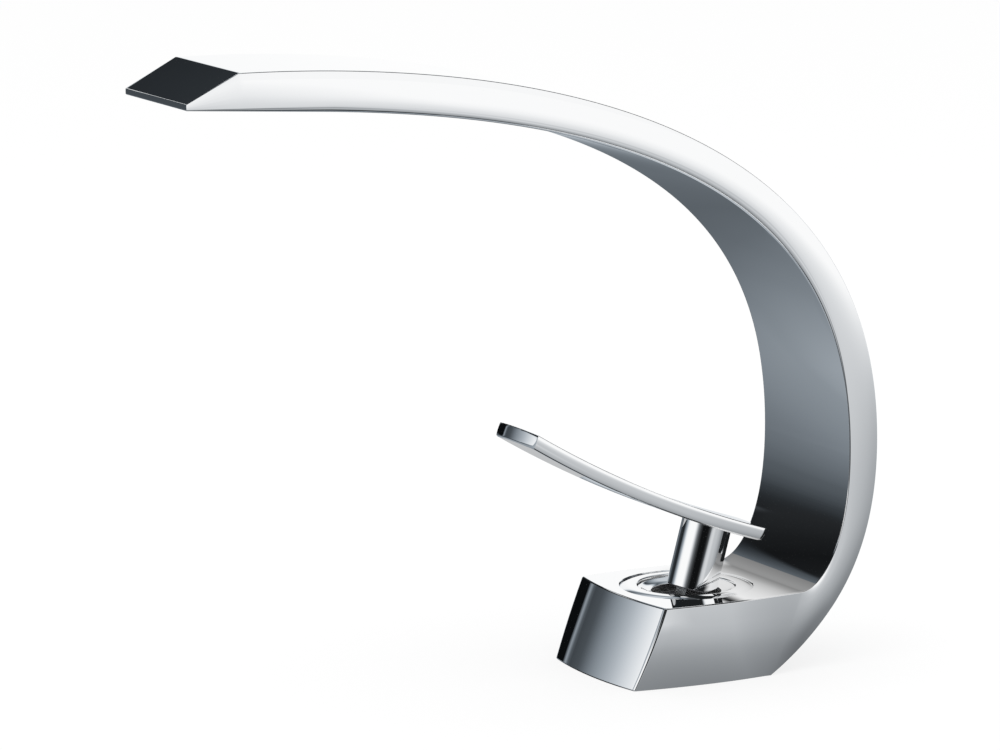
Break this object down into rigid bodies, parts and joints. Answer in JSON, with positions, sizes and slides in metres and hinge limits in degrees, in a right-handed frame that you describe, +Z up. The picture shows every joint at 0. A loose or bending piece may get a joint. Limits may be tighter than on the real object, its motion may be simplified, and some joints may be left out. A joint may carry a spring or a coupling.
{
  "type": "basin mixer tap",
  "caption": "Single-lever basin mixer with a low block base, a wide flat C-shaped spout and a slim curved lever on a leaning post, cartridge and aerator inside.",
  "frame": {"origin": "on the deck plane, in the middle of the block's footprint", "axes": "+Z up, -Y towards the spout tip and the user, +X to the right of somebody facing the tap from the front"},
  "size_m": [0.0556, 0.231, 0.196],
  "materials": {
    "chrome": "polished",
    "aerator_chrome": "polished",
    "rubber": "moulded",
    "ceramic": "lapped",
    "nickel_plate": "machined",
    "steel": "machined",
    "cartridge_plastic": "moulded",
    "aerator_plastic": "moulded"
  },
  "bodies": {
    "tap": {"tap_body": "chrome", "deck_seal": "rubber", "cartridge_plate": "cartridge_plastic", "hot_inlet_seal": "rubber", "cold_inlet_seal": "rubber", "outlet_seal": "rubber", "fixed_disc": "ceramic", "cartridge_housing": "cartridge_plastic", "housing_o_ring": "rubber", "glide_ring": "cartridge_plastic", "clamp_ring": "nickel_plate", "cover_ring": "chrome", "dished_cover": "chrome", "aerator_housing": "aerator_chrome", "aerator_insert": "aerator_plastic", "aerator_screen": "steel", "aerator_washer": "rubber"},
    "swivel": {"swivel_guide": "cartridge_plastic", "pivot_pin": "steel"},
    "lever": {"lever_spindle": "nickel_plate", "lever_post": "chrome", "lever_blade": "chrome", "post_screw": "steel", "grub_screw": "steel"},
    "disc": {"disc_carrier": "cartridge_plastic", "sliding_disc": "ceramic"}
  },
  "joints": [
    {"name": "temperature_turn", "type": "hinge", "parent": "tap", "child": "swivel", "pos_m": [0, 0.0088, 0.017], "axis": [0, 0, 1], "range_deg": [-45, 45]},
    {"name": "flow_tilt", "type": "hinge", "parent": "swivel", "child": "lever", "pos_m": [0, 0.0088, 0.017], "axis": [1, 0, 0], "range_deg": [0, 25]},
    {"name": "disc_slide", "type": "slide", "parent": "swivel", "child": "disc", "axis": [0, 1, 0], "range_m": [0, 0.0017]}
  ],
  "couplings": [
    {"joint": "disc_slide", "follows": "flow_tilt", "m_per_rad": 0.003716}
  ]
}
